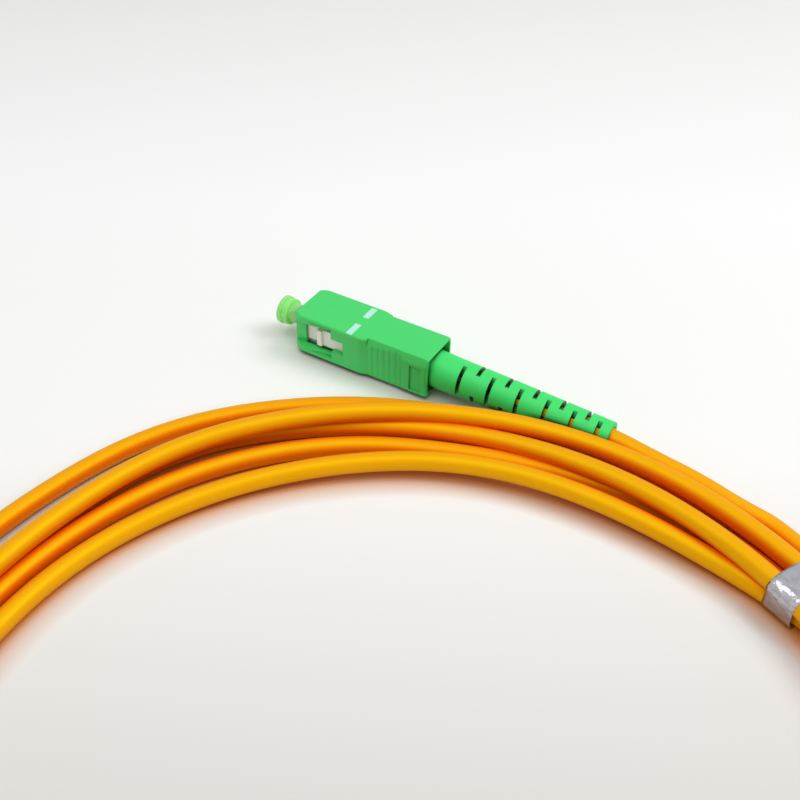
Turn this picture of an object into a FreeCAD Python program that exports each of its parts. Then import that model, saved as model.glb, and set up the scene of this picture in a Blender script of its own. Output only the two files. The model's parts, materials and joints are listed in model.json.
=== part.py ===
"""Simplex fibre optic patch cable: a push-pull plug on each end of one coiled cord.

Each plug is drawn about its own axis: X runs from the nose to the cord, Z is up and
the key lies underneath. The part's frame has X along the first plug, with the floor at Z = 0.
"""
import FreeCAD
import Part
import Sketcher
import math
import os

Vector = FreeCAD.Vector

DIMENSIONS = {
    # Grip housing, the outer sleeve that the fingers push and pull
    "housing_length": 25.5,
    "housing_width": 9.0,
    "housing_height": 7.4,
    "nose_chamfer_length": 1.3,
    "nose_chamfer_width": 0.75,
    "shoulder_start": 13.1,
    "shoulder_length": 1.2,
    "grip_width": 8.2,
    "grip_bevel_width": 0.5,
    "grip_bevel_height": 1.35,
    "housing_edge": 0.25,
    "key_start": 0.6,
    "key_lead": 1.0,
    "key_length": 10.0,
    "key_width": 2.0,
    "key_height": 0.6,
    # Latch channel, window and release ramps in both narrow sides of the housing
    "channel_low": 2.05,
    "channel_high": 2.5,
    "channel_depth": 1.05,
    "window_start": 2.0,
    "window_length": 5.6,
    "slot_length": 2.3,
    "slot_height": 2.7,
    "ramp_length": 4.4,
    "ramp_depth": 0.65,
    "ramp_height": 0.7,
    # Finger scoop, the grooves across it and the bare rectangular recess behind it
    "scoop_start": 14.4,
    "scoop_lead": 0.7,
    "scoop_land": 0.2,
    "scoop_depth": 0.22,
    "groove_pitch": 1.1,
    "groove_count": 5,
    "groove_width": 0.6,
    "groove_depth": 0.12,
    "recess_step": 1.5,
    "recess_length": 2.05,
    "recess_low": -3.1,
    "recess_high": 1.75,
    "recess_depth": 0.3,
    # Room inside the housing
    "slide_gap": 0.1,
    "pull_travel": 1.4,
    "push_travel": 1.0,
    "stop_gap": 0.05,
    "boot_room_lead": 0.5,
    "boot_room_gap": 0.25,
    # Plug frame, the white inner body that the latch holds
    "frame_front": 0.4,
    "frame_length": 19.1,
    "frame_width": 6.8,
    "frame_height": 5.4,
    "frame_nose_width": 5.9,
    "frame_nose_length": 4.0,
    "rail_height": 3.1,
    "rail_root": 4.6,
    "rail_length": 9.6,
    "ridge_length": 0.9,
    "ridge_height": 0.5,
    "ridge_span": 3.0,
    "lug_start": 12.0,
    "lug_length": 1.4,
    "lug_height": 0.35,
    "lug_width": 3.0,
    "sleeve_bore": 4.6,
    "sleeve_depth": 4.2,
    "frame_wall": 0.7,
    "chamber_bore": 4.4,
    # Ferrule, its flange and the spring behind it
    "ferrule_diameter": 2.5,
    "ferrule_length": 10.5,
    "ferrule_reach": 2.3,
    "ferrule_gap": 0.05,
    "ferrule_travel": 1.0,
    "ferrule_hole_depth": 2.7,
    "pedestal_diameter": 1.4,
    "pedestal_cone": 0.6,
    "polish_angle": 8.0,
    "collar_diameter": 4.2,
    "collar_length": 1.7,
    "barrel_diameter": 3.2,
    "barrel_length": 1.8,
    "tail_diameter": 2.0,
    "tail_gap": 0.5,
    "spring_diameter": 3.8,
    "spring_wire": 0.4,
    "spring_turns": 4,
    # Spring stop with its crimp post
    "stop_depth": 6.0,
    "tail_bore": 2.4,
    "tail_room": 1.7,
    "stop_collar_diameter": 5.2,
    "stop_collar_length": 1.0,
    "post_diameter": 3.6,
    "post_length": 5.6,
    "liner_outer": 1.5,
    "liner_inner": 1.0,
    "liner_length": 11.6,
    # Cord make-up
    "cable_diameter": 3.0,
    "buffer_diameter": 0.9,
    "buffer_grip": 1.0,
    "jacket_gap": 0.9,
    "yarn_thickness": 0.15,
    "yarn_length": 5.2,
    "crimp_wall": 0.3,
    "crimp_barrel_length": 4.5,
    # Strain relief boot
    "boot_length": 35.0,
    "boot_base_diameter": 6.2,
    "boot_base_length": 6.3,
    "boot_end_diameter": 4.7,
    "boot_gap": 0.15,
    "boot_plain_length": 10.1,
    "boot_slot_pitch": 2.58,
    "boot_slot_step": 0.062,
    "boot_slot_count": 11,
    "boot_slot_width": 0.65,
    "boot_web_share": 0.58,
    "boot_turn": 30.0,
    # Dust cap over the ferrule
    "cap_reach": 5.0,
    "cap_head_length": 1.9,
    "cap_head_diameter": 4.6,
    "cap_rim_length": 0.8,
    "cap_rim_diameter": 4.9,
    "cap_tube_diameter": 3.4,
    "cap_tube_length": 6.6,
    "cap_gap": 0.03,
    "cap_tip_gap": 0.3,
    # Coiled bundle and the tie round it
    "coil_middle_x": 32.8,
    "coil_inner_radius": 54.0,
    "coil_width": 12.5,
    "coil_gap": 2.8,
    "fan_shift_x": -2.45,
    "fan_shift_y": -2.0,
    "coil_height": 5.8,
    "coil_bottom": 0.4,
    "coil_chamfer": 1.5,
    "tie_angle": 63.0,
    "tie_inner_room": 0.3,
    "tie_span": 13.4,
    "tie_height": 6.4,
    "tie_width": 4.6,
    "tie_thickness": 0.25,
    "tie_gap": 0.1,
    # Second plug, inside the coil: its boot's end from the coil's middle
    "second_end_x": 42.27,
    "second_end_y": -0.4,
    "second_turn": 45.0,
}

# Cord routes after each boot's end: the first in the part's frame, the second from the coil's middle
LEAD_A_ROUTE = ((39.8, 0.0, 4.3), (51.8, -3.5, 4.1), (62.8, -10.0, 3.8), (70.8, -20.0, 3.5))
LEAD_B_ROUTE = (
    (48.49, 5.82, 4.3),
    (52.11, 17.91, 4.0),
    (49.56, 30.27, 3.4),
    (37.2, 44.9, 2.8),
    (25.6, 50.4, 2.5),
)

PARTS_FOLDER = "parts"
FULL_TURN = 360
BEYOND = 2.0
HEXAGON_FLAT = math.sqrt(3) / 2


class Size:
    """A length that knows its value now and the sheet expression that drives it."""

    def __init__(self, value, text):
        self.value = value
        self.text = text

    def __add__(self, other):
        return Size(self.value + value_of(other), f"({self.text} + {text_of(other)})")

    def __sub__(self, other):
        return Size(self.value - value_of(other), f"({self.text} - {text_of(other)})")

    def __rsub__(self, other):
        return Size(value_of(other) - self.value, f"({text_of(other)} - {self.text})")

    def __mul__(self, other):
        return Size(self.value * value_of(other), f"({self.text} * {text_of(other)})")

    def __truediv__(self, other):
        return Size(self.value / value_of(other), f"({self.text} / {text_of(other)})")

    def __neg__(self):
        return Size(-self.value, f"(-{self.text})")

    __radd__ = __add__
    __rmul__ = __mul__

    def tangent(self):
        """The slope of this angle, which is in degrees like the next two."""
        return Size(math.tan(math.radians(self.value)), f"tan({self.text} * 1 deg)")

    def sine(self):
        return Size(math.sin(math.radians(self.value)), f"sin({self.text} * 1 deg)")

    def cosine(self):
        return Size(math.cos(math.radians(self.value)), f"cos({self.text} * 1 deg)")


def value_of(length):
    return length.value if isinstance(length, Size) else length


def text_of(length):
    return length.text if isinstance(length, Size) else repr(length)


class Sheet:
    """The driving dimensions, each one an attribute of the same name."""

    def __init__(self, document):
        cells = document.addObject("Spreadsheet::Sheet", "sizes")
        for row, (name, value) in enumerate(DIMENSIONS.items(), start=1):
            cells.set(f"A{row}", name)
            cells.set(f"B{row}", str(value))
            cells.setAlias(f"B{row}", name)
            setattr(self, name, Size(float(value), f"sizes.{name}"))


doc = FreeCAD.newDocument("patch_cable")
D = Sheet(doc)
doc.recompute()

# Stations along a plug's axis, measured from the housing's front face
HOUSING_HALF = D.housing_width / 2
HOUSING_TOP = D.housing_height / 2
SHOULDER_END = D.shoulder_start + D.shoulder_length
WINDOW_END = D.window_start + D.window_length
GROOVE_START = D.scoop_start + D.scoop_lead
SCOOP_END = GROOVE_START + D.groove_count * D.groove_pitch + D.scoop_land
RECESS_START = SCOOP_END + D.recess_step
FRAME_REAR = D.frame_front + D.frame_length
FRAME_SHOULDER = D.frame_front + D.frame_nose_length
RIDGE_END = FRAME_SHOULDER + D.ridge_length
LUG_END = D.lug_start + D.lug_length
WALL_FRONT = D.frame_front + D.sleeve_depth
WALL_REAR = WALL_FRONT + D.frame_wall
FLANGE_FRONT = WALL_REAR
COLLAR_END = FLANGE_FRONT + D.collar_length
BARREL_END = COLLAR_END + D.barrel_length
FERRULE_REAR = D.ferrule_length - D.ferrule_reach
POST_START = FRAME_REAR + D.stop_collar_length
POST_END = POST_START + D.post_length
STOP_START = FRAME_REAR - D.stop_depth
TAIL_END = STOP_START - D.tail_gap
LINER_START = STOP_START + D.tail_room
JACKET_START = POST_END + D.jacket_gap
CRIMP_STEP = POST_END + D.yarn_thickness
CRIMP_END = CRIMP_STEP + D.crimp_barrel_length
BOOT_START = POST_START
BOOT_END = BOOT_START + D.boot_length
POST_RADIUS = D.post_diameter / 2
YARN_RADIUS = POST_RADIUS + D.yarn_thickness
CRIMP_RADIUS = YARN_RADIUS + D.crimp_wall
CABLE_RADIUS = D.cable_diameter / 2
AXIS_HEIGHT = HOUSING_TOP + D.key_height
ORIGIN_STATION = (BOOT_END - D.cap_reach) / 2
COIL_OUTER_RADIUS = D.coil_inner_radius + D.coil_width
FAN_MIDDLE_Y = -COIL_OUTER_RADIUS - D.coil_gap
COIL_MIDDLE_Y = FAN_MIDDLE_Y - D.fan_shift_y
SECOND_END_X = D.coil_middle_x + D.second_end_x
SECOND_END_Y = COIL_MIDDLE_Y + D.second_end_y


def origin_plane(body, role):
    return next(feature for feature in body.Origin.OriginFeatures if feature.Role == role)


def new_body(name, end):
    body = doc.addObject("PartDesign::Body", f"{name}_{end}")
    body.Label = f"{name}_{end}"
    return body


def sketch_on(body, role, offset=None):
    """An empty sketch on one of the body's own planes, moved along the plane's normal."""
    sketch = body.newObject("Sketcher::SketchObject", f"{body.Name}_sketch")
    sketch.AttachmentSupport = [(origin_plane(body, role), "")]
    sketch.MapMode = "FlatFace"
    if offset is not None:
        sketch.setExpression("AttachmentOffset.Base.z", text_of(offset))
    return sketch


def turned_sketch_on(body, role, offset, turn):
    """Such a sketch on a plane that is also turned backwards about the plug's axis, in degrees."""
    sketch = sketch_on(body, role, offset * turn.cosine())
    sketch.AttachmentOffset = FreeCAD.Placement(Vector(), FreeCAD.Rotation(Vector(-1, 0, 0), turn.value))
    sketch.setExpression("AttachmentOffset.Rotation.Angle", f"{turn.text} * 1 deg")
    sketch.setExpression("AttachmentOffset.Base.y", text_of(offset * turn.sine()))
    return sketch


def tie_to_sheet(sketch, constraint, length):
    index = sketch.addConstraint(constraint)
    if isinstance(length, Size):
        sketch.setExpression(f"Constraints[{index}]", length.text)


def outline(sketch, corners):
    """A closed polygon with each corner's two coordinates tied to the sheet."""
    first = sketch.GeometryCount
    points = [Vector(value_of(across), value_of(up), 0) for across, up in corners]
    for start, stop in zip(points, points[1:] + points[:1]):
        sketch.addGeometry(Part.LineSegment(start, stop), False)
    for number, (across, up) in enumerate(corners):
        line = first + number
        following = first + (number + 1) % len(corners)
        sketch.addConstraint(Sketcher.Constraint("Coincident", line, 2, following, 1))
        tie_to_sheet(sketch, Sketcher.Constraint("DistanceX", -1, 1, line, 1, value_of(across)), across)
        tie_to_sheet(sketch, Sketcher.Constraint("DistanceY", -1, 1, line, 1, value_of(up)), up)


def rectangle(sketch, left, right, low, high):
    outline(sketch, [(left, low), (right, low), (right, high), (left, high)])


def feature(body, kind, sketch, **lengths):
    """A sketch-based feature with its sizes tied to the sheet."""
    made = body.newObject(f"PartDesign::{kind}", f"{body.Name}_{kind}")
    made.Profile = sketch
    for name, length in lengths.items():
        made.setExpression(name, text_of(length))
    sketch.Visibility = False
    return made


def pad(body, sketch, length):
    return feature(body, "Pad", sketch, Length=length)


def pocket_forward(body, sketch, length):
    """Cut along the sketch plane's normal."""
    cut = feature(body, "Pocket", sketch, Length=length)
    cut.Reversed = True
    return cut


def turned(body, corners, kind="Revolution"):
    """Turn a half profile, given as station and radius, about the plug's axis."""
    sketch = sketch_on(body, "XZ_Plane")
    outline(sketch, corners)
    made = feature(body, kind, sketch)
    made.ReferenceAxis = (sketch, ["H_Axis"])
    made.Angle = FULL_TURN
    return made


def bar(body, start, stop, half_width, half_height):
    """A rectangular bar about the axis from one station to another."""
    sketch = sketch_on(body, "YZ_Plane", start)
    rectangle(sketch, -half_width, half_width, -half_height, half_height)
    return pad(body, sketch, stop - start)


def bar_cut(body, start, stop, half_width, half_height):
    """A rectangular hole about the axis from one station to another."""
    sketch = sketch_on(body, "YZ_Plane", start)
    rectangle(sketch, -half_width, half_width, -half_height, half_height)
    return pocket_forward(body, sketch, stop - start)


def side_cut(body, corners, low, high):
    """A pocket in both narrow sides of the grip, from its plan on one side."""
    sketch = sketch_on(body, "XY_Plane", low)
    outline(sketch, corners)
    outline(sketch, [(station, -across) for station, across in corners])
    return pocket_forward(body, sketch, high - low)


def finger_scoop(body):
    """A wedge that deepens towards the cord, with grooves across its floor, and a step at its end."""
    edge = D.grip_width / 2
    outside = edge + BEYOND
    slope = D.scoop_depth / (SCOOP_END - D.scoop_start)

    def floor(station):
        return edge - (station - D.scoop_start) * slope

    plan = [(D.scoop_start, edge)]
    for number in range(int(value_of(D.groove_count))):
        start = GROOVE_START + number * D.groove_pitch
        middle = start + D.groove_width / 2
        stop = start + D.groove_width
        plan += [(start, floor(start)), (middle, floor(middle) - D.groove_depth), (stop, floor(stop))]
    plan += [(SCOOP_END, edge - D.scoop_depth), (SCOOP_END, outside), (D.scoop_start, outside)]
    return side_cut(body, plan, -HOUSING_TOP - BEYOND, HOUSING_TOP + BEYOND)


def bare_recess(body):
    edge = D.grip_width / 2
    outside = edge + BEYOND
    floor = edge - D.recess_depth
    end = RECESS_START + D.recess_length
    plan = [(RECESS_START, floor), (end, floor), (end, outside), (RECESS_START, outside)]
    return side_cut(body, plan, D.recess_low, D.recess_high)


def grip_housing(end):
    body = new_body("grip_housing", end)
    nose_half = HOUSING_HALF - D.nose_chamfer_width
    grip_half = D.grip_width / 2
    edge = [
        (0.0, nose_half),
        (D.nose_chamfer_length, HOUSING_HALF),
        (D.shoulder_start, HOUSING_HALF),
        (SHOULDER_END, grip_half),
        (D.housing_length, grip_half),
    ]
    plan = sketch_on(body, "XY_Plane", -HOUSING_TOP)
    outline(plan, edge + [(station, -half) for station, half in reversed(edge)])
    block = pad(body, plan, D.housing_height)
    doc.recompute()
    broken = body.newObject("PartDesign::Chamfer", f"housing_edges_{end}")
    broken.Base = (block, [f"Edge{number + 1}" for number in range(len(block.Shape.Edges))])
    broken.setExpression("Size", D.housing_edge.text)

    key_low = -HOUSING_TOP - D.key_height
    key_end = D.key_start + D.key_length
    key = sketch_on(body, "XZ_Plane", -D.key_width / 2)
    key_face = [
        (D.key_start, -HOUSING_TOP),
        (D.key_start + D.key_lead, key_low),
        (key_end, key_low),
        (key_end, -HOUSING_TOP),
    ]
    outline(key, key_face)
    pad(body, key, D.key_width)

    bevels = sketch_on(body, "YZ_Plane", SHOULDER_END)
    for side in (1, -1):
        top = (side * (grip_half - D.grip_bevel_width), HOUSING_TOP)
        low = (side * grip_half, HOUSING_TOP - D.grip_bevel_height)
        out = (side * (grip_half + BEYOND), HOUSING_TOP - D.grip_bevel_height)
        up = (side * (grip_half + BEYOND), HOUSING_TOP + BEYOND)
        over = (side * (grip_half - D.grip_bevel_width), HOUSING_TOP + BEYOND)
        outline(bevels, [top, low, out, up, over])
    pocket_forward(body, bevels, D.housing_length - SHOULDER_END + BEYOND)

    room_half = D.frame_width / 2 + D.slide_gap
    room_top = D.frame_height / 2 + D.slide_gap
    boot_top = D.boot_base_diameter / 2 + D.boot_room_gap
    bar_cut(body, -BEYOND, D.housing_length + BEYOND, D.frame_nose_width / 2 + D.slide_gap, room_top)
    bar_cut(body, D.window_start, D.housing_length + BEYOND, room_half, room_top)
    bar_cut(body, FRAME_REAR - D.boot_room_lead, D.housing_length + BEYOND, boot_top, boot_top)
    lug_room_start = D.lug_start - D.pull_travel - D.stop_gap
    lug_room_end = LUG_END + D.push_travel + D.stop_gap
    lug_top = room_top + D.lug_height
    bar_cut(body, lug_room_start, lug_room_end, D.lug_width / 2 + D.slide_gap, lug_top)

    channel = sketch_on(body, "YZ_Plane", -BEYOND)
    cheek = HOUSING_HALF - D.channel_depth
    rectangle(channel, cheek, HOUSING_HALF + BEYOND, -D.channel_low, D.channel_high)
    rectangle(channel, -HOUSING_HALF - BEYOND, -cheek, -D.channel_low, D.channel_high)
    pocket_forward(body, channel, WINDOW_END + BEYOND)
    window = sketch_on(body, "YZ_Plane", D.window_start)
    across = HOUSING_HALF + BEYOND
    rectangle(window, -across, across, -D.channel_low, D.channel_high)
    pocket_forward(body, window, D.window_length)
    bar_cut(body, WINDOW_END, WINDOW_END + D.slot_length, across, D.slot_height / 2)

    ramps = sketch_on(body, "XY_Plane", -D.channel_low - D.ramp_height)
    for side in (1, -1):
        tip = (WINDOW_END - D.ramp_length, side * HOUSING_HALF)
        deep = (WINDOW_END, side * (HOUSING_HALF - D.ramp_depth))
        outline(ramps, [tip, deep, (WINDOW_END, side * HOUSING_HALF)])
    pocket_forward(body, ramps, D.channel_low + D.channel_high + 2 * D.ramp_height)

    finger_scoop(body)
    bare_recess(body)
    return body


def plug_frame(end):
    body = new_body("plug_frame", end)
    half = D.frame_width / 2
    top = D.frame_height / 2
    bar(body, D.frame_front, FRAME_SHOULDER, D.frame_nose_width / 2, top)
    bar(body, FRAME_SHOULDER, FRAME_REAR, half, top)
    bar(body, FRAME_SHOULDER, RIDGE_END, half + D.ridge_height, D.ridge_span / 2)
    bar(body, D.lug_start, LUG_END, D.lug_width / 2, top + D.lug_height)
    rails = sketch_on(body, "YZ_Plane", D.frame_front - BEYOND)
    root = D.rail_root / 2
    rail = D.rail_height / 2
    for left, right in ((root, half + BEYOND), (-half - BEYOND, -root)):
        rectangle(rails, left, right, rail, top + BEYOND)
        rectangle(rails, left, right, -top - BEYOND, -rail)
    pocket_forward(body, rails, D.rail_length + BEYOND)
    sleeve = D.sleeve_bore / 2
    hole = D.ferrule_diameter / 2 + D.ferrule_gap
    chamber = D.chamber_bore / 2
    bores = [
        (D.frame_front - BEYOND, 0.0),
        (D.frame_front - BEYOND, sleeve),
        (WALL_FRONT, sleeve),
        (WALL_FRONT, hole),
        (WALL_REAR, hole),
        (WALL_REAR, chamber),
        (FRAME_REAR + BEYOND, chamber),
        (FRAME_REAR + BEYOND, 0.0),
    ]
    turned(body, bores, "Groove")
    return body


def ferrule(end):
    body = new_body("ferrule", end)
    slope = D.polish_angle.tangent()
    pedestal = D.pedestal_diameter / 2
    outer = D.ferrule_diameter / 2
    hole = D.liner_inner / 2
    front = -D.ferrule_reach - slope * pedestal
    profile = [
        (front, 0.0),
        (front, pedestal),
        (front + D.pedestal_cone, outer),
        (FERRULE_REAR, outer),
        (FERRULE_REAR, hole),
        (FERRULE_REAR - D.ferrule_hole_depth, hole),
        (FERRULE_REAR - D.ferrule_hole_depth, 0.0),
    ]
    turned(body, profile)
    polish = sketch_on(body, "XZ_Plane", -outer - BEYOND)
    face = [
        (-D.ferrule_reach - slope * outer, -outer),
        (-D.ferrule_reach + slope * outer, outer),
        (-D.ferrule_reach - BEYOND, outer),
        (-D.ferrule_reach - BEYOND, -outer),
    ]
    outline(polish, face)
    pocket_forward(body, polish, 2 * (outer + BEYOND))
    return body


def ferrule_flange(end):
    body = new_body("ferrule_flange", end)
    corner = D.collar_diameter / 2
    flat = corner * HEXAGON_FLAT
    hexagon = sketch_on(body, "YZ_Plane", FLANGE_FRONT)
    ring = [(corner, 0.0), (corner / 2, flat), (-corner / 2, flat)]
    outline(hexagon, ring + [(-across, -up) for across, up in ring])
    pad(body, hexagon, D.collar_length)
    barrel = D.barrel_diameter / 2
    tail = D.tail_diameter / 2
    seat = D.ferrule_diameter / 2
    hole = D.liner_inner / 2
    outside = [
        (COLLAR_END, 0.0),
        (COLLAR_END, barrel),
        (BARREL_END, barrel),
        (BARREL_END, tail),
        (TAIL_END, tail),
        (TAIL_END, 0.0),
    ]
    turned(body, outside)
    bores = [
        (FLANGE_FRONT - BEYOND, 0.0),
        (FLANGE_FRONT - BEYOND, seat),
        (FERRULE_REAR, seat),
        (FERRULE_REAR, hole),
        (TAIL_END + BEYOND, hole),
        (TAIL_END + BEYOND, 0.0),
    ]
    turned(body, bores, "Groove")
    return body


def ferrule_spring(end):
    """An open coil of square wire between the flange's collar and the spring stop."""
    body = new_body("ferrule_spring", end)
    middle = D.spring_diameter / 2
    half_wire = D.spring_wire / 2
    wire = sketch_on(body, "XZ_Plane")
    rectangle(wire, COLLAR_END, COLLAR_END + D.spring_wire, middle - half_wire, middle + half_wire)
    coil = feature(body, "AdditiveHelix", wire)
    coil.ReferenceAxis = (wire, ["H_Axis"])
    coil.Mode = "height-turns-angle"
    coil.setExpression("Height", text_of(STOP_START - COLLAR_END - D.spring_wire))
    coil.setExpression("Turns", D.spring_turns.text)
    return body


def spring_stop(end):
    body = new_body("spring_stop", end)
    head = D.chamber_bore / 2
    collar = D.stop_collar_diameter / 2
    room = D.tail_bore / 2
    hole = D.liner_outer / 2
    profile = [
        (STOP_START, room),
        (STOP_START, head),
        (FRAME_REAR, head),
        (FRAME_REAR, collar),
        (POST_START, collar),
        (POST_START, POST_RADIUS),
        (POST_END, POST_RADIUS),
        (POST_END, hole),
        (LINER_START, hole),
        (LINER_START, room),
    ]
    turned(body, profile)
    return body


def tube(name, end, start, stop, inner, outer):
    body = new_body(name, end)
    turned(body, [(start, inner), (start, outer), (stop, outer), (stop, inner)])
    return body


def liner_tube(end):
    stop = LINER_START + D.liner_length
    return tube("liner_tube", end, LINER_START, stop, D.liner_inner / 2, D.liner_outer / 2)


def aramid_yarn(end):
    return tube("aramid_yarn", end, POST_END - D.yarn_length, POST_END, POST_RADIUS, YARN_RADIUS)


def buffered_fibre(end):
    start = FERRULE_REAR - D.buffer_grip
    return tube("buffered_fibre", end, start, JACKET_START, 0.0, D.buffer_diameter / 2)


def cable_jacket_end(end):
    return tube("cable_jacket_end", end, JACKET_START, BOOT_END, 0.0, CABLE_RADIUS)


def crimp_sleeve(end):
    """A stepped sleeve: wide over the yarn on the post, narrow over the jacket."""
    body = new_body("crimp_sleeve", end)
    start = POST_END - D.yarn_length
    narrow = CABLE_RADIUS + D.crimp_wall
    profile = [
        (start, YARN_RADIUS),
        (start, CRIMP_RADIUS),
        (CRIMP_STEP, CRIMP_RADIUS),
        (CRIMP_STEP, narrow),
        (CRIMP_END, narrow),
        (CRIMP_END, CABLE_RADIUS),
        (POST_END, CABLE_RADIUS),
        (POST_END, YARN_RADIUS),
    ]
    turned(body, profile)
    return body


def boot_slot_station(number):
    """Slots close up towards the thin end."""
    closed = D.boot_slot_step * (number * (number - 1) / 2)
    return BOOT_START + D.boot_plain_length + number * D.boot_slot_pitch - closed


def strain_boot(end):
    body = new_body("strain_boot", end)
    base = D.boot_base_diameter / 2
    tip = D.boot_end_diameter / 2
    bore = CABLE_RADIUS + D.boot_gap
    narrow = CABLE_RADIUS + D.crimp_wall
    profile = [
        (BOOT_START, CRIMP_RADIUS),
        (BOOT_START, base),
        (BOOT_START + D.boot_base_length, base),
        (BOOT_END, tip),
        (BOOT_END, bore),
        (CRIMP_END, bore),
        (CRIMP_END, narrow),
        (CRIMP_STEP, narrow),
        (CRIMP_STEP, CRIMP_RADIUS),
    ]
    turned(body, profile)
    half_slot = D.boot_slot_width / 2
    taper = (base - tip) / (D.boot_length - D.boot_base_length)
    for first, role in ((0, "XY_Plane"), (1, "XZ_Plane")):
        slots = turned_sketch_on(body, role, -base - BEYOND, D.boot_turn)
        for number in range(first, int(value_of(D.boot_slot_count)), 2):
            station = boot_slot_station(number)
            web = D.boot_web_share * (tip + (BOOT_END - station) * taper)
            rectangle(slots, station - half_slot, station + half_slot, web, base + BEYOND)
            rectangle(slots, station - half_slot, station + half_slot, -base - BEYOND, -web)
        pocket_forward(body, slots, 2 * (base + BEYOND))
    return body


def dust_cap(end):
    body = new_body("dust_cap", end)
    front = -D.cap_reach
    head = D.cap_head_diameter / 2
    rim = D.cap_rim_diameter / 2
    neck = D.cap_tube_diameter / 2
    bore = D.ferrule_diameter / 2 + D.cap_gap
    neck_start = front + D.cap_head_length
    stop = neck_start + D.cap_tube_length
    bore_start = -D.ferrule_reach - D.cap_tip_gap
    profile = [
        (front, 0.0),
        (front, rim),
        (front + D.cap_rim_length, rim),
        (front + D.cap_rim_length, head),
        (neck_start, head),
        (neck_start, neck),
        (stop, neck),
        (stop, bore),
        (bore_start, bore),
        (bore_start, 0.0),
    ]
    turned(body, profile)
    return body


PLUG_PIECES = (
    grip_housing,
    plug_frame,
    ferrule,
    ferrule_flange,
    ferrule_spring,
    spring_stop,
    liner_tube,
    aramid_yarn,
    buffered_fibre,
    cable_jacket_end,
    crimp_sleeve,
    strain_boot,
    dust_cap,
)


def place_first_plug(body):
    """Middle of the plug over the origin, key on the floor."""
    body.setExpression("Placement.Base.x", text_of(-ORIGIN_STATION))
    body.setExpression("Placement.Base.z", AXIS_HEIGHT.text)


def place_second_plug(body):
    """Inside the coil, with its boot's end where its lead arrives."""
    body.Placement = FreeCAD.Placement(Vector(), FreeCAD.Rotation(Vector(0, 0, 1), 0))
    body.setExpression("Placement.Rotation.Angle", f"{D.second_turn.text} * 1 deg")
    body.setExpression("Placement.Base.x", text_of(SECOND_END_X - BOOT_END * D.second_turn.cosine()))
    body.setExpression("Placement.Base.y", text_of(SECOND_END_Y - BOOT_END * D.second_turn.sine()))
    body.setExpression("Placement.Base.z", AXIS_HEIGHT.text)


def cord_path(points):
    """Straight runs joined by tangent arcs as large as the runs allow."""
    edges = []
    radii = []
    start = points[0]
    for before, corner, after in zip(points, points[1:], points[2:]):
        inward = (corner - before).normalize()
        outward = (after - corner).normalize()
        turn = inward.getAngle(outward)
        reach = 0.45 * min((corner - before).Length, (after - corner).Length)
        radii.append(reach / math.tan(turn / 2))
        arc_start = corner - inward * reach
        arc_end = corner + outward * reach
        bisector = (outward - inward).normalize()
        middle = corner + bisector * (radii[-1] / math.cos(turn / 2) - radii[-1])
        edges.append(Part.LineSegment(start, arc_start).toShape())
        edges.append(Part.Arc(arc_start, middle, arc_end).toShape())
        start = arc_end
    edges.append(Part.LineSegment(start, points[-1]).toShape())
    return Part.Wire(edges), radii


def lead(name, boot_end, route, datum):
    """A plain round tube along the cord from a boot to the coil."""
    points = [boot_end] + [datum + Vector(*point) for point in route]
    path, radii = cord_path(points)
    radius = value_of(CABLE_RADIUS)
    circle = Part.Circle(points[0], points[1] - points[0], radius)
    section = Part.Face(Part.Wire(circle.toShape()))
    made = doc.addObject("Part::Feature", name)
    made.Label = name
    made.Shape = path.makePipe(section)
    expected = math.pi * radius**2 * path.Length
    print(name, "length", round(path.Length, 1), "radii", [round(radius, 1) for radius in radii])
    print(name, "volume share", round(made.Shape.Volume / expected, 4))
    return made


def circle(sketch, across, up, radius):
    middle = Vector(value_of(across), value_of(up), 0)
    index = sketch.addGeometry(Part.Circle(middle, Vector(0, 0, 1), value_of(radius)), False)
    tie_to_sheet(sketch, Sketcher.Constraint("DistanceX", -1, 1, index, 3, middle.x), across)
    tie_to_sheet(sketch, Sketcher.Constraint("DistanceY", -1, 1, index, 3, middle.y), up)
    tie_to_sheet(sketch, Sketcher.Constraint("Radius", index, value_of(radius)), radius)


def cable_coil():
    """The bundle of turns: tight at the tie and fanned out on the far side of it."""
    body = doc.addObject("PartDesign::Body", "cable_coil")
    body.Label = "cable_coil"
    ring = sketch_on(body, "XY_Plane", D.coil_bottom)
    circle(ring, D.coil_middle_x + D.fan_shift_x, FAN_MIDDLE_Y, COIL_OUTER_RADIUS)
    circle(ring, D.coil_middle_x, COIL_MIDDLE_Y, D.coil_inner_radius)
    bundle = pad(body, ring, D.coil_height)
    doc.recompute()
    rims = [number for number, edge in enumerate(bundle.Shape.Edges, start=1) if edge.isClosed()]
    edges = [f"Edge{number}" for number in rims]
    corners = body.newObject("PartDesign::Chamfer", "coil_corners")
    corners.Base = (bundle, edges)
    corners.setExpression("Size", D.coil_chamfer.text)
    return body


def bundle_tie():
    """A flat band round the coil and the first lead."""
    body = doc.addObject("PartDesign::Body", "bundle_tie")
    body.Label = "bundle_tie"
    inside_low = D.coil_bottom - D.tie_gap
    loop = sketch_on(body, "YZ_Plane", -D.tie_width / 2)
    near = D.coil_inner_radius - D.tie_inner_room
    far = near + D.tie_span
    top = D.tie_height
    thick = D.tie_thickness
    rectangle(loop, near - thick, far + thick, inside_low - thick, top + thick)
    rectangle(loop, near, far, inside_low, top)
    pad(body, loop, D.tie_width)
    body.Placement = FreeCAD.Placement(Vector(), FreeCAD.Rotation(Vector(0, 0, -1), 0))
    body.setExpression("Placement.Rotation.Angle", f"(90 - {D.tie_angle.text}) * 1 deg")
    body.setExpression("Placement.Base.x", D.coil_middle_x.text)
    body.setExpression("Placement.Base.y", COIL_MIDDLE_Y.text)
    return body


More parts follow.
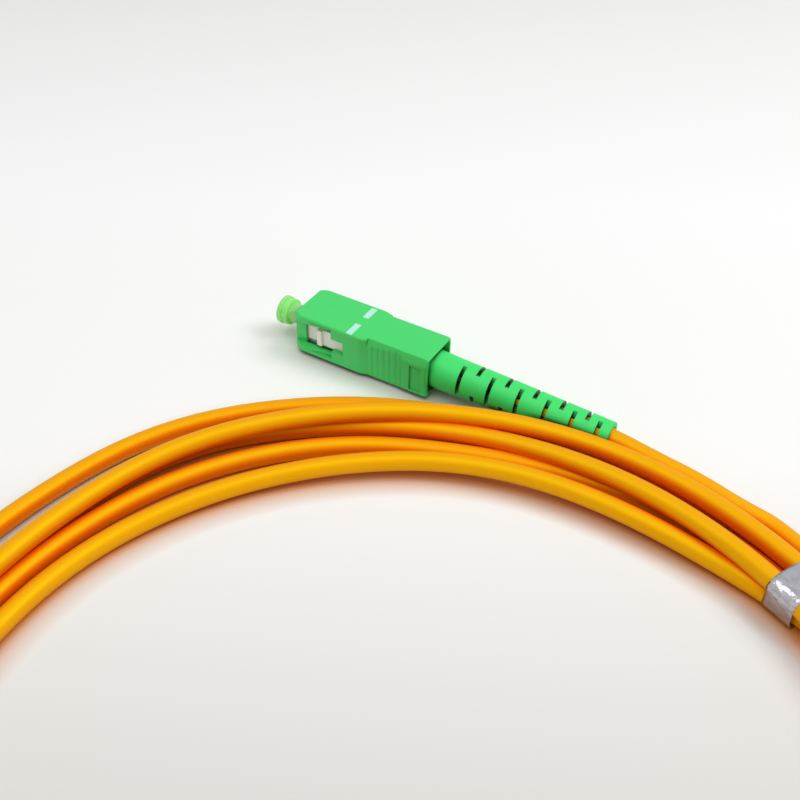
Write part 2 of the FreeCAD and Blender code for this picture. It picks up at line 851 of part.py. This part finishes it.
sub_parts = []
for end, place in (("a", place_first_plug), ("b", place_second_plug)):
    for piece in PLUG_PIECES:
        made = piece(end)
        place(made)
        sub_parts.append(made)
sub_parts.append(cable_coil())
sub_parts.append(bundle_tie())
height = value_of(AXIS_HEIGHT)
first_boot_end = Vector(value_of(BOOT_END - ORIGIN_STATION), 0, height)
second_boot_end = Vector(value_of(SECOND_END_X), value_of(SECOND_END_Y), height)
coil_middle = Vector(value_of(D.coil_middle_x), value_of(COIL_MIDDLE_Y), 0)
sub_parts.append(lead("lead_a", first_boot_end, LEAD_A_ROUTE, Vector()))
sub_parts.append(lead("lead_b", second_boot_end, LEAD_B_ROUTE, coil_middle))
doc.recompute()

failed = [item.Name for item in doc.Objects if {"Invalid", "Error"} & set(item.State)]
if failed:
    raise RuntimeError(f"features that failed: {failed}")
for sub_part in sub_parts:
    if sub_part.Shape.isNull() or not sub_part.Shape.isValid():
        raise RuntimeError(f"{sub_part.Label} has no valid shape")

os.makedirs(PARTS_FOLDER, exist_ok=True)
for sub_part in sub_parts:
    sub_part.Shape.exportStep(f"{PARTS_FOLDER}/{sub_part.Label}.step")
print(len(sub_parts), "sub-parts written")
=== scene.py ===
"""Looks of the fibre optic patch cable: its cord, finishes, floor, light and camera."""
import json
import math

import bmesh
import bpy
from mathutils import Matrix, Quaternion, Vector, noise
from mathutils.geometry import convex_hull_2d


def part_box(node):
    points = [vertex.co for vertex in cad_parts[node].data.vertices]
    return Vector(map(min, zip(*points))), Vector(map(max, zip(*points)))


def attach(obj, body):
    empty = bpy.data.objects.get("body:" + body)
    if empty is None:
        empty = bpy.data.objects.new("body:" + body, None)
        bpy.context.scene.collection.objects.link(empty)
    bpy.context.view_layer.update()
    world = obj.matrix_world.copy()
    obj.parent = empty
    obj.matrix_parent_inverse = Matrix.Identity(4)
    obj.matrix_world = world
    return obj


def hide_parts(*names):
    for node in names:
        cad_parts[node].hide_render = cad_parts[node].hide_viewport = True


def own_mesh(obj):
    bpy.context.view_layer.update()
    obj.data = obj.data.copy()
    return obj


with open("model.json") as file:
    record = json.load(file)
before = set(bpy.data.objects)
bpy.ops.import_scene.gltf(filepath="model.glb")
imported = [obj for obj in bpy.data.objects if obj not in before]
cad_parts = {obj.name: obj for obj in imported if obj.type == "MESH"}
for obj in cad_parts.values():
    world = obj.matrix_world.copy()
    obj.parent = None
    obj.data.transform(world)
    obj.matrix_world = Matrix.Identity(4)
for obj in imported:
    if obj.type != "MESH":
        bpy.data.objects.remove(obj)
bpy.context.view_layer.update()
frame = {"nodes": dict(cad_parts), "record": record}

MM = 0.001
UP = Vector((0, 0, 1))
MOUNTS = {mount["name"]: mount for mount in frame["record"]["mounts"]}
JOINTS = {joint["name"]: joint for joint in frame["record"]["behaviour"]["joints"]}


def plug_front(end):
    """The middle of the front face of a plug's housing, in millimetres."""
    return Vector([part / MM for part in MOUNTS[f"plug_{end}"]["pos_m"]])


def plug_turn(end):
    """How far a plug is turned about the vertical, in radians."""
    nose_x, nose_y, _ = MOUNTS[f"plug_{end}"]["axis"]
    return math.atan2(-nose_y, -nose_x)


def level_way(turn):
    """The level direction at that turn, in radians."""
    return Vector((math.cos(turn), math.sin(turn), 0))


def srgb(red, green, blue):
    """A display colour, 0 to 255, as the linear colour that a shader takes."""
    def linear(channel):
        share = channel / 255
        return share / 12.92 if share <= 0.04045 else ((share + 0.055) / 1.055) ** 2.4

    return (linear(red), linear(green), linear(blue), 1.0)


def smooth(share):
    """From 0 to 1 with a gentle start and end."""
    share = min(max(share, 0.0), 1.0)
    return share * share * (3 - 2 * share)


def between(start, stop, share):
    """The value that share of the way from start to stop."""
    return start + (stop - start) * share


def placed(name, data):
    """A new object in the scene."""
    made = bpy.data.objects.new(name, data)
    bpy.context.collection.objects.link(made)
    return made


# Shaders: how many rays feel for nooks and for edges, and the colour sockets of a Mix node by number
NOOK_SAMPLES = 6
EDGE_SAMPLES = 4
MIX_SHARE, MIX_FIRST, MIX_SECOND = 0, 6, 7
MIX_RESULT = 2


class Field:
    """An output socket that takes part in arithmetic: each operation adds a Math node."""

    def __init__(self, nodes, socket):
        self.nodes = nodes
        self.socket = socket

    def _math(self, operation, first, second):
        return self.nodes.node("ShaderNodeMath", {"operation": operation}, {0: first, 1: second})

    def __add__(self, other):
        return self._math("ADD", self, other)

    def __sub__(self, other):
        return self._math("SUBTRACT", self, other)

    def __rsub__(self, other):
        return self._math("SUBTRACT", other, self)

    def __mul__(self, other):
        return self._math("MULTIPLY", self, other)

    def __truediv__(self, other):
        return self._math("DIVIDE", self, other)

    def __rtruediv__(self, other):
        return self._math("DIVIDE", other, self)

    def __gt__(self, other):
        return self._math("GREATER_THAN", self, other)

    def __lt__(self, other):
        return self._math("LESS_THAN", self, other)

    __radd__ = __add__
    __rmul__ = __mul__


def within(field, limits):
    """1 where a field lies between two limits, 0 elsewhere."""
    return (field > limits[0]) * (field < limits[1])


def fill_ramp(ramp, stops):
    """Give a colour ramp its stops, each a position and a colour."""
    while len(ramp.elements) < len(stops):
        ramp.elements.new(0.5)
    for element, (position, colour) in zip(ramp.elements, stops):
        element.position = position
        element.color = colour


class Nodes:
    """A node tree under construction."""

    def __init__(self, tree):
        self.tree = tree

    def node(self, kind, settings=None, inputs=None, output=0):
        """A node with its settings made first and then its sockets filled or linked."""
        made = self.tree.nodes.new(kind)
        for name, value in (settings or {}).items():
            if name == "stops":
                fill_ramp(made.color_ramp, value)
            else:
                setattr(made, name, value)
        for key, value in (inputs or {}).items():
            self.feed(made.inputs[key], value)
        return Field(self, made.outputs[output])

    def feed(self, socket, value):
        """Link a field to a socket, or set a plain value on it."""
        if isinstance(value, Field):
            self.tree.links.new(value.socket, socket)
        else:
            socket.default_value = value


class Finish(Nodes):
    """A material under construction round one principled shader."""

    def __init__(self, name, **sockets):
        self.material = bpy.data.materials.new(name)
        self.material.use_nodes = True
        super().__init__(self.material.node_tree)
        self.tree.nodes.clear()
        output = self.tree.nodes.new("ShaderNodeOutputMaterial")
        self.shader = self.tree.nodes.new("ShaderNodeBsdfPrincipled")
        self.tree.links.new(self.shader.outputs["BSDF"], output.inputs["Surface"])
        for socket, value in sockets.items():
            self.set(socket, value)

    def set(self, name, value):
        """Fill or link one of the principled shader's sockets."""
        self.feed(self.shader.inputs[name], value)

    def place(self):
        """The point on the surface, in the part's frame."""
        return self.node("ShaderNodeTexCoord", output="Object")

    def noise(self, size, detail=2.0):
        """Soft random patches of about that size in millimetres, from 0 to 1."""
        inputs = {"Vector": self.place(), "Scale": 1 / (size * MM), "Detail": detail}
        return self.node("ShaderNodeTexNoise", None, inputs, "Fac")

    def mix(self, share, first, second):
        """Between two colours."""
        inputs = {MIX_SHARE: share, MIX_FIRST: first, MIX_SECOND: second}
        return self.node("ShaderNodeMix", {"data_type": "RGBA"}, inputs, MIX_RESULT)

    def crevice(self, reach, own=False):
        """How deep a spot lies in a nook of that reach in millimetres, from 0 to 1.

        Where own is set, only walls of the same piece make a nook.
        """
        settings = {"samples": NOOK_SAMPLES, "only_local": own}
        return 1 - self.node("ShaderNodeAmbientOcclusion", settings, {"Distance": reach * MM}, "AO")

    def bump(self, height, depth, edge=0.0):
        """Tilt the surface by a height field that is that deep, and round its edges by that radius."""
        inputs = {"Height": height, "Strength": 1.0, "Distance": depth * MM}
        if edge:
            inputs["Normal"] = self.node("ShaderNodeBevel", {"samples": EDGE_SAMPLES}, {"Radius": edge * MM})
        self.set("Normal", self.node("ShaderNodeBump", None, inputs))


# Finishes: the size of plastic's colour patches in millimetres, how far they drift, how fine the grain is
# and how far the gloss varies with it
DRIFT_SIZE = 3.0
DRIFT_SHARE = 0.5
GRAIN_DETAIL = 4.0
GLOSS_SPREAD = 0.16
SOFT_EDGE = 0.3
CRISP_EDGE = 0.12

# How fine the lines in metal are, how much of the dull colour they bring and how much they roughen it
LINE_DETAIL = 3.0
DULL_SHARE = 0.6
LINE_ROUGHNESS = 0.12

# Painted shade in nooks: what the nooks darken to, how near their walls are in millimetres, how much they
# darken, and whether only the piece's own walls count
GRIP_NOOK_SHADE = (srgb(2, 32, 4), 1.4, 1.1, False)
BOOT_NOOK_SHADE = (srgb(2, 26, 4), 1.4, 3.0, False)
WHITE_NOOK_SHADE = (srgb(20, 22, 16), 0.5, 0.1, False)
# The jacket's painted shade turns a deep orange-red where strands lie close to one another
JACKET_NOOK_SHADE = (srgb(240, 96, 0), 6.0, 11.0, True)

# The printed index marks on the housing's top, in the plug's own millimetres, and how their ink has worn
MARK_ALONG = (10.45, 11.55)
MARKS_ACROSS = ((-4.3, -1.25), (0.85, 3.85))
MARK_TOP = 3.5
MARK_WHITE = srgb(190, 240, 228)
RAGGED_EDGE = 0.14
RAGGED_SIZE = 0.35
RAGGED_DETAIL = 3.0
WEAR_SIZE = 0.5
INK_LEAST = 0.78
INK_SPREAD = 0.3

# The jacket's gloss takes on its yellow, and the cap lets light through
JACKET_SHEEN = {"IOR": 1.9, "Specular IOR Level": 1.0, "Specular Tint": srgb(205, 236, 30)}
CAP_BODY = {
    "Transmission Weight": 0.1,
    "IOR": 1.46,
    "Subsurface Weight": 1.0,
    "Subsurface Radius": (1.0, 2.0, 0.9),
    "Subsurface Scale": MM,
}


def moulded(name, colour, deep, roughness, grain=0.12, depth=0.004, edge=0.0, nook=None, **sockets):
    """Moulded plastic: slow colour drift, fine grain, uneven gloss, soft edges, and painted shade that
    darkens its nooks.
    """
    finish = Finish(name, **sockets)
    shade = finish.mix(finish.noise(DRIFT_SIZE) * DRIFT_SHARE, colour, deep)
    if nook:
        dark, reach, share, own = nook
        sunk = finish.crevice(reach, own)
        # Painted shade: the colour turns towards the nook's dark colour where near walls block the light
        shade = finish.mix(sunk * sunk * share, shade, dark)
    finish.set("Base Color", shade)
    # Kept with its painted nook shade, for the printed marks to go over
    finish.paint = shade
    grains = finish.noise(grain, GRAIN_DETAIL)
    finish.set("Roughness", roughness - GLOSS_SPREAD / 2 + grains * GLOSS_SPREAD)
    finish.bump(grains, depth, edge)
    return finish


def grip_finish(name, end):
    """The green of a plug's housing, with two white bars printed across its top."""
    green, deep = srgb(64, 217, 107), srgb(56, 209, 97)
    finish = moulded(name, green, deep, roughness=0.42, edge=SOFT_EDGE, nook=GRIP_NOOK_SHADE)
    inputs = {
        "Vector": finish.place(),
        "Location": plug_front(end) * MM,
        "Rotation": (0, 0, plug_turn(end)),
        "Scale": (MM,) * 3,
    }
    local = finish.node("ShaderNodeMapping", {"vector_type": "TEXTURE"}, inputs)
    along, across, height = (finish.node("ShaderNodeSeparateXYZ", None, {0: local}, axis) for axis in "XYZ")
    ragged = (finish.noise(RAGGED_SIZE, RAGGED_DETAIL) - 0.5) * RAGGED_EDGE
    bars = within(across + ragged, MARKS_ACROSS[0]) + within(across + ragged, MARKS_ACROSS[1])
    mark = within(along + ragged, MARK_ALONG) * bars * (height > MARK_TOP)
    ink = mark * (INK_LEAST + finish.noise(WEAR_SIZE, GRAIN_DETAIL) * INK_SPREAD)
    finish.set("Base Color", finish.mix(ink, finish.paint, MARK_WHITE))
    return finish.material


def plated(name, colour, dull, roughness, grain=0.15, depth=0.003):
    """Plated, drawn or rolled metal with an uneven, dulled skin."""
    finish = Finish(name, Metallic=1.0)
    lines = finish.noise(grain, LINE_DETAIL)
    finish.set("Base Color", finish.mix(lines * DULL_SHARE, colour, dull))
    finish.set("Roughness", roughness + lines * LINE_ROUGHNESS)
    finish.bump(lines, depth)
    return finish.material


FINISHES = {
    "grip_green": grip_finish("grip_green_first", "a"),
    "boot_green": moulded(
        "boot_green", srgb(55, 229, 109), srgb(48, 221, 99), roughness=0.48, edge=SOFT_EDGE, nook=BOOT_NOOK_SHADE
    ).material,
    "frame_white": moulded(
        "frame_white",
        srgb(244, 247, 242),
        srgb(238, 240, 230),
        roughness=0.4,
        edge=CRISP_EDGE,
        nook=WHITE_NOOK_SHADE,
    ).material,
    "zirconia": moulded("zirconia", srgb(243, 241, 236), srgb(236, 233, 226), roughness=0.18).material,
    "plated_brass": plated("plated_brass", srgb(205, 200, 188), srgb(150, 146, 136), roughness=0.25),
    "spring_steel": plated("spring_steel", srgb(190, 190, 194), srgb(140, 140, 144), roughness=0.22),
    "liner": moulded("liner", srgb(240, 240, 236), srgb(232, 232, 228), roughness=0.4).material,
    "aramid": moulded("aramid", srgb(228, 196, 72), srgb(200, 164, 48), roughness=0.7).material,
    "buffer": moulded("buffer", srgb(240, 240, 236), srgb(232, 232, 228), roughness=0.4).material,
    "jacket": moulded(
        "jacket",
        srgb(243, 153, 2),
        srgb(239, 144, 2),
        roughness=0.5,
        grain=0.2,
        nook=JACKET_NOOK_SHADE,
        **JACKET_SHEEN,
    ).material,
    "cap": moulded(
        "cap", srgb(160, 255, 140), srgb(150, 253, 126), roughness=0.25, grain=0.3, depth=0.002, **CAP_BODY
    ).material,
    "tie_foil": plated(
        "tie_foil", srgb(214, 214, 220), srgb(92, 86, 98), roughness=0.1, grain=1.1, depth=0.16
    ),
}
SECOND_GRIP = grip_finish("grip_green_second", "b")


def dress_nodes():
    """Give every CAD node its finish. The marks on each housing need a finish of their own."""
    for part in frame["record"]["subparts"]:
        node = frame["nodes"][part["node"]]
        node.data.materials.clear()
        node.data.materials.append(FINISHES[part["material_slot"]])
    frame["nodes"]["grip_housing_b"].data.materials[0] = SECOND_GRIP


# The first boot lies a little low and gives way to its cord: where it starts to, where its root and its end
# are behind the plug's front, and how far those two move, all in millimetres
FIRST_FRONT = plug_front("a")
BOOT_START = 20.5
BOOT_ROOT = 29.0
BOOT_END = 55.5
ROOT_SHIFT = Vector((0, -0.28, -0.21))
END_SHIFT = Vector((0, -0.81, -0.05))


def bend(point):
    """Where a point of the first boot or its cord, in metres, goes when the boot gives way."""
    along = point.x / MM - FIRST_FRONT.x
    root = smooth((along - BOOT_START) / (BOOT_ROOT - BOOT_START))
    end = max(along - BOOT_ROOT, 0.0) / (BOOT_END - BOOT_ROOT)
    return point + (ROOT_SHIFT * root + (END_SHIFT - ROOT_SHIFT) * end * end) * MM


def stand_in(node_name, name):
    """A copy of a CAD node that stands for it and rides with the cable."""
    copy = placed(name, frame["nodes"][node_name].data.copy())
    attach(copy, "cable_assembly")
    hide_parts(node_name)
    return copy


def bent_copy(node_name):
    """A stand-in that follows the first boot's bend."""
    copy = stand_in(node_name, f"bent_{node_name}")
    for vertex in copy.data.vertices:
        vertex.co = bend(vertex.co)


def springy_copy(end):
    """A stand-in for a plug's spring, on a mesh of its own; the share it would shorten by is worked out but
    not applied.
    """
    ferrule_float = f"ferrule_float_{end}"
    travel = JOINTS[ferrule_float]["range_m"][1] / MM
    start, stop = (corner.x / MM - FIRST_FRONT.x for corner in map(Vector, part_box("ferrule_spring_a")))
    copy = stand_in(f"ferrule_spring_{end}", f"springy_coil_{end}")
    1 - travel / (stop - start)
    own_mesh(copy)
    return copy


# The cord: its size, the middle of its ring, and the angles at which each turn is set out, in degrees
CORD_DIAMETER = 3.0
COIL_MIDDLE = Vector((33.85, -69.5, 0))
COIL_STEP = 20
FAR_ANGLES = (170, 150, 130, 110, 90, 70)

# How finely the cord is drawn, and how much each control point weighs where the line passes it
CORD_FACETS = 8
CORD_STEPS = 8
CORD_ORDER = 3
OWN_WEIGHT = 0.75


def on_ring(angle, radius, height):
    """A point on the coil, by its angle in degrees and its distance from the middle."""
    turn = math.radians(angle)
    return COIL_MIDDLE + Vector((radius * math.cos(turn), radius * math.sin(turn), height))


class Turn:
    """One pass over the far side of the ring, at the far angles, and its step aside on the near side."""

    def __init__(self, radii, heights, aside=0.0):
        self.radii = radii
        self.heights = heights
        self.aside = aside


FLOOR_TURN = (CORD_DIAMETER / 2,) * len(FAR_ANGLES)
FIRST_PASS = Turn((68.6,), (2.0,))
TURNS = (
    Turn((70.5, 73.2, 71.2, 68.5, 67.3, 65.6), FLOOR_TURN, -0.9),
    Turn((62.9, 65.7, 65.6, 65.8, 65.8, 64.3), (4.2, 4.4, 4.6, 4.5, 4.2, 4.2), 1.8),
    Turn((64.4, 68.1, 66.1, 63.3, 60.7, 59.5), (1.5, 1.5, 1.5, 2.8, 4.5, 4.3), -0.7),
    Turn((61.4, 62.3, 61.8, 60.0, 61.3, 62.9), FLOOR_TURN, -0.7),
    Turn((57.5, 57.0, 56.6, 57.2, 56.8, 59.3), (1.5, 1.8, 2.4, 2.8, 2.7, 1.6)),
)

# How far the near side of the ring is drawn in, and the cord's way between each boot and the ring
NEAR_PULL = 0.075
LEAD_A = ((25.8, -0.65, 4.22), (30.8, -0.9, 4.15), (37.3, -1.9, 3.9), (44.4, -2.4, 3.4), (51.0, -3.65, 2.7))
LEAD_B = (
    (59.2, -15.1, 1.5),
    (71.6, -20.3, 1.5),
    (82.36, -37.03, 2.4),
    (84.91, -49.39, 3.6),
    (81.29, -61.48, 4.3),
    (75.07, -67.7, 4.3),
    (69.3, -73.47, 4.3),
)


def coil_points():
    """The cord's control points round the ring, one every step of the angle.

    The smooth line cuts inside its control points, so they lie that much further out.
    """
    pull = OWN_WEIGHT + (1 - OWN_WEIGHT) * math.cos(math.radians(COIL_STEP))
    points = []
    passes = (FIRST_PASS,) + TURNS
    for this, following in zip(passes, passes[1:]):
        for angle, radius, height in zip(FAR_ANGLES[-len(this.radii):], this.radii, this.heights):
            points.append(on_ring(angle, radius / pull, height))
        near = range(FAR_ANGLES[-1] - COIL_STEP, FAR_ANGLES[0] - 360, -COIL_STEP)
        for number, angle in enumerate(near, start=1):
            way = number / (len(near) + 1)
            share = smooth(way)
            aside = this.aside * math.sin(math.pi * share)
            snug = 1 - NEAR_PULL * math.sin(math.pi * way)
            radius = between(this.radii[-1], following.radii[0], share) * snug + aside
            height = between(this.heights[-1], following.heights[0], share)
            points.append(on_ring(angle, radius / pull, height))
    last = TURNS[-1]
    for angle, radius, height in zip(FAR_ANGLES[:-1], last.radii, last.heights):
        points.append(on_ring(angle, radius / pull, height))
    return points


def patch_cord():
    """The orange cord from plug to plug, one smooth line through leads and turns."""
    points = [Vector(point) for point in LEAD_A] + coil_points() + [Vector(point) for point in LEAD_B]
    line = bpy.data.curves.new("patch_cord", "CURVE")
    line.dimensions = "3D"
    line.bevel_depth = CORD_DIAMETER / 2 * MM
    line.bevel_resolution = CORD_FACETS
    line.resolution_u = CORD_STEPS
    line.use_fill_caps = True
    spline = line.splines.new("NURBS")
    spline.points.add(len(points) - 1)
    for control, point in zip(spline.points, points):
        control.co = (*(point * MM), 1.0)
    spline.order_u = CORD_ORDER
    spline.use_endpoint_u = True
    line.materials.append(FINISHES["jacket"])
    cord = placed("patch_cord", line)
    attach(cord, "cable_assembly")
    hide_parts("lead_a", "lead_b", "cable_coil")
    return cord


# The tie: its angle on the ring, and how far to either side the strands under it are looked up, in degrees
TIE_ANGLE = 63
TIE_SIDES = (-2.3, 0.0, 2.3)
RIM_STEPS = 24

# The foil in millimetres, how often it goes round, and how far its lapped end lifts in a full turn
TIE_WIDTH = 4.6
TIE_THICKNESS = 0.12
TIE_LAP = 1.16
TIE_LIFT = 0.9
TIE_ROWS = 150
TIE_COLUMNS = 8

# How deep the foil is crinkled, and how often round it, across it and where in the noise:
# first the folds in its face, then the raggedness of its edges
TIE_CRINKLE = 0.1
FOLDS = (14, 0.5, 3.1)
RAGS = (9, 5.0, 7.7)


def cord_line(cord):
    """The points that the cord's middle line goes through, from the ring's middle."""
    bare = cord.data.copy()
    bare.bevel_depth = 0
    carrier = bpy.data.objects.new("cord_line", bare)
    mesh = bpy.data.meshes.new_from_object(carrier)
    points = [vertex.co / MM - COIL_MIDDLE for vertex in mesh.vertices]
    bpy.data.objects.remove(carrier)
    bpy.data.curves.remove(bare)
    bpy.data.meshes.remove(mesh)
    return points


def strands_at(line, angle):
    """Where the cord's line passes that angle of the ring: distance from the middle, and height."""
    outward = level_way(math.radians(angle))
    onward = UP.cross(outward)
    strands = []
    for start, stop in zip(line, line[1:]):
        before, after = start.dot(onward), stop.dot(onward)
        if before * after <= 0 and before != after and start.dot(outward) > 0:
            spot = start.lerp(stop, before / (before - after))
            strands.append(Vector((spot.dot(outward), spot.z)))
    return strands


def tie_loop(line):
    """The tight line round all the strands under the tie: distance from the ring's middle, and height."""
    rim = []
    reach = CORD_DIAMETER / 2 + TIE_THICKNESS / 2
    for side in TIE_SIDES:
        for strand in strands_at(line, TIE_ANGLE + side):
            for step in range(RIM_STEPS):
                turn = math.tau * step / RIM_STEPS
                spot = strand + Vector((math.cos(turn), math.sin(turn))) * reach
                rim.append(Vector((spot.x, max(spot.y, TIE_THICKNESS))))
    return [rim[number] for number in convex_hull_2d(rim)]


def along_loop(loop, share):
    """The point that share of the way round a closed line."""
    sides = list(zip(loop, loop[1:] + loop[:1]))
    left = share % 1 * sum((stop - start).length for start, stop in sides)
    for start, stop in sides:
        length = (stop - start).length
        if left <= length:
            return start.lerp(stop, left / length)
        left -= length
    return loop[0]


def crinkled(pattern, along, across):
    """How far the foil strays there, in millimetres."""
    often_along, often_across, seed = pattern
    return noise.noise(Vector((along * often_along, across * often_across, seed))) * TIE_CRINKLE


def foil_strip(cord):
    """The foil's mesh: rows of corners wound tight round the strands, the end lapped over the start."""
    loop = tie_loop(cord_line(cord))
    middle = sum(loop, Vector((0, 0))) / len(loop)
    outward = level_way(math.radians(TIE_ANGLE))
    onward = UP.cross(outward)
    strip = bmesh.new()
    rows = []
    for row in range(TIE_ROWS + 1):
        share = row / TIE_ROWS * TIE_LAP
        spot = along_loop(loop, share)
        away = (spot - middle).normalized()
        corners = []
        for column in range(TIE_COLUMNS + 1):
            aside = (column / TIE_COLUMNS - 0.5) * TIE_WIDTH
            lifted = spot + away * (max(share - 1, 0) * TIE_LIFT + crinkled(FOLDS, share, aside))
            sideways = aside + crinkled(RAGS, share, column)
            place = outward * lifted.x + onward * sideways + UP * max(lifted.y, TIE_THICKNESS)
            corners.append(strip.verts.new((COIL_MIDDLE + place) * MM))
        rows.append(corners)
    for first, second in zip(rows, rows[1:]):
        for column in range(TIE_COLUMNS):
            strip.faces.new((first[column], first[column + 1], second[column + 1], second[column]))
    mesh = bpy.data.meshes.new("foil_tie")
    strip.to_mesh(mesh)
    strip.free()
    mesh.shade_smooth()
    return mesh


def foil_tie(cord):
    """A strip of bright foil that holds the bundle together."""
    mesh = foil_strip(cord)
    mesh.materials.append(FINISHES["tie_foil"])
    tie = placed("foil_tie", mesh)
    skin = tie.modifiers.new("foil", "SOLIDIFY")
    skin.thickness = TIE_THICKNESS * MM
    skin.offset = 0
    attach(tie, "cable_assembly")
    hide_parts("bundle_tie")
    return tie


# The floor, in metres: painted shade makes it a little darker towards the eye and far away, standing in for
# light that falls off
FLOOR_HALF = 3.0
FLOOR_GLOSS = {"Roughness": 0.6, "Specular IOR Level": 0.2}
TOWARDS_BACK = (-0.512, 0.859, 0.0)
FALLOFF_REACH = 0.6
FALLOFF_MIDDLE = 0.5
FLOOR_PAINTED_FALLOFF = (
    (0.33, srgb(204, 201, 196)),
    (0.47, srgb(248, 248, 246)),
    (0.6, srgb(251, 252, 251)),
    (0.82, srgb(243, 244, 242)),
)

# Painted contact shadow: what the floor darkens to close to the part, within how many millimetres, and how
# much
FLOOR_CONTACT_SHADOW = (srgb(140, 126, 114), 4.0, 0.7)

# Inside the ring the floor close to the cord takes on its orange as painted bounce light from the cord: its
# colour, how much, and between which distances from the ring's middle in millimetres
PAINTED_CORD_BOUNCE = (srgb(212, 140, 66), 1.5)
BOUNCE_RING = (50.0, 68.0)


def floor_finish():
    """Pale paint with painted shade towards the eye and far away, a painted contact shadow close to the
    part, and the cord's orange bounce light painted on the floor inside the ring.
    """
    finish = Finish("pale_floor", **FLOOR_GLOSS)
    inputs = {0: finish.place(), 1: TOWARDS_BACK}
    back = finish.node("ShaderNodeVectorMath", {"operation": "DOT_PRODUCT"}, inputs, "Value")
    # Painted shade: the floor's colour darkens towards the eye and far away
    painted_falloff = finish.node("ShaderNodeValToRGB", {"stops": FLOOR_PAINTED_FALLOFF}, {0: back / FALLOFF_REACH + FALLOFF_MIDDLE})
    # Painted contact shadow where the part closes in over the floor
    dark, reach, share = FLOOR_CONTACT_SHADOW
    nook = finish.crevice(reach)
    shade = finish.mix(nook * share, painted_falloff, dark)
    # Painted bounce light: the floor near the cord inside the ring turns orange
    inputs = {0: finish.place(), 1: COIL_MIDDLE * MM}
    away = finish.node("ShaderNodeVectorMath", {"operation": "DISTANCE"}, inputs, "Value")
    bounce_colour, strength = PAINTED_CORD_BOUNCE
    near_cord = within(away / MM, BOUNCE_RING)
    finish.set("Base Color", finish.mix(nook * near_cord * strength, shade, bounce_colour))
    return finish.material


def pale_floor():
    """The plain square that the part lies on."""
    mesh = bpy.data.meshes.new("floor")
    half = FLOOR_HALF
    corners = [(-half, -half, 0), (half, -half, 0), (half, half, 0), (-half, half, 0)]
    mesh.from_pydata(corners, [], [(0, 1, 2, 3)])
    floor = placed("floor", mesh)
    mesh.materials.append(floor_finish())


# Light: how bright the room is, and how bright it looks to the eye, in mirrors and through clear pieces
ROOM_LIGHT = 0.4
BACKDROP = 0.8
ROOM_WHITE = (1.0, 1.0, 1.0, 1.0)

# Each lamp's name, where it hangs and how wide it is in metres, and its power in watts,
# and where all of them point
LAMPS = (
    ("overhead", (0.0, -0.2, 0.6), 0.6, 1.65),
    ("side", (0.45, 0.3, 0.63), 0.45, 2.85),
)
LAMP_AIM = Vector((0.0, 0.0, 0.0))


def soft_room():
    """The room's own even light, which also makes the pale backdrop."""
    world = bpy.data.worlds.new("soft_room")
    world.use_nodes = True
    background = world.node_tree.nodes["Background"]
    room = Nodes(world.node_tree)
    room.feed(background.inputs["Color"], ROOM_WHITE)
    rays = ("Is Camera Ray", "Is Glossy Ray", "Is Transmission Ray")
    eye, mirrored, through = (room.node("ShaderNodeLightPath", output=ray) for ray in rays)
    seen = 1 - (1 - eye) * (1 - mirrored) * (1 - through)
    room.feed(background.inputs["Strength"], ROOM_LIGHT + (BACKDROP - ROOM_LIGHT) * seen)
    bpy.context.scene.world = world


def round_lamp(name, place, size, power):
    """A soft round lamp that points at the part."""
    lamp = bpy.data.lights.new(name, "AREA")
    lamp.shape = "DISK"
    lamp.size = size
    lamp.energy = power
    light = placed(name, lamp)
    light.location = place
    light.rotation_euler = (LAMP_AIM - Vector(place)).to_track_quat("-Z", "Y").to_euler()


# The camera, in millimetres, with its roll in degrees and its nearest sight in metres
EYE = Vector((57.585, -112.614, 105.399))
LOOK_AT = Vector((-3.392, -5.95, 0.0))
ROLL = 1.45
LENS = 45.0
SENSOR = 36.0
NEAREST = 0.005


def photo_camera():
    """The camera where the photograph was taken from."""
    data = bpy.data.cameras.new("photo_camera")
    data.lens = LENS
    data.sensor_width = SENSOR
    data.clip_start = NEAREST
    camera = placed("photo_camera", data)
    camera.location = EYE * MM
    camera.rotation_mode = "QUATERNION"
    upright = (LOOK_AT - EYE).to_track_quat("-Z", "Y")
    camera.rotation_quaternion = upright @ Quaternion((0, 0, 1), math.radians(ROLL))
    bpy.context.scene.camera = camera


# Putting it together
dress_nodes()
for node_name in ("strain_boot_a", "cable_jacket_end_a"):
    bent_copy(node_name)
cord = patch_cord()
springy_copy("a")
second_plug = [springy_copy("b")]
for node_name, node in frame["nodes"].items():
    if node_name.endswith("_b") and node_name not in ("lead_b", "ferrule_spring_b"):
        second_plug.append(node)
second_plug + [foil_tie(cord)]
pale_floor()
soft_room()
for lamp in LAMPS:
    round_lamp(*lamp)
photo_camera()
bpy.context.scene.view_settings.view_transform = "Standard"
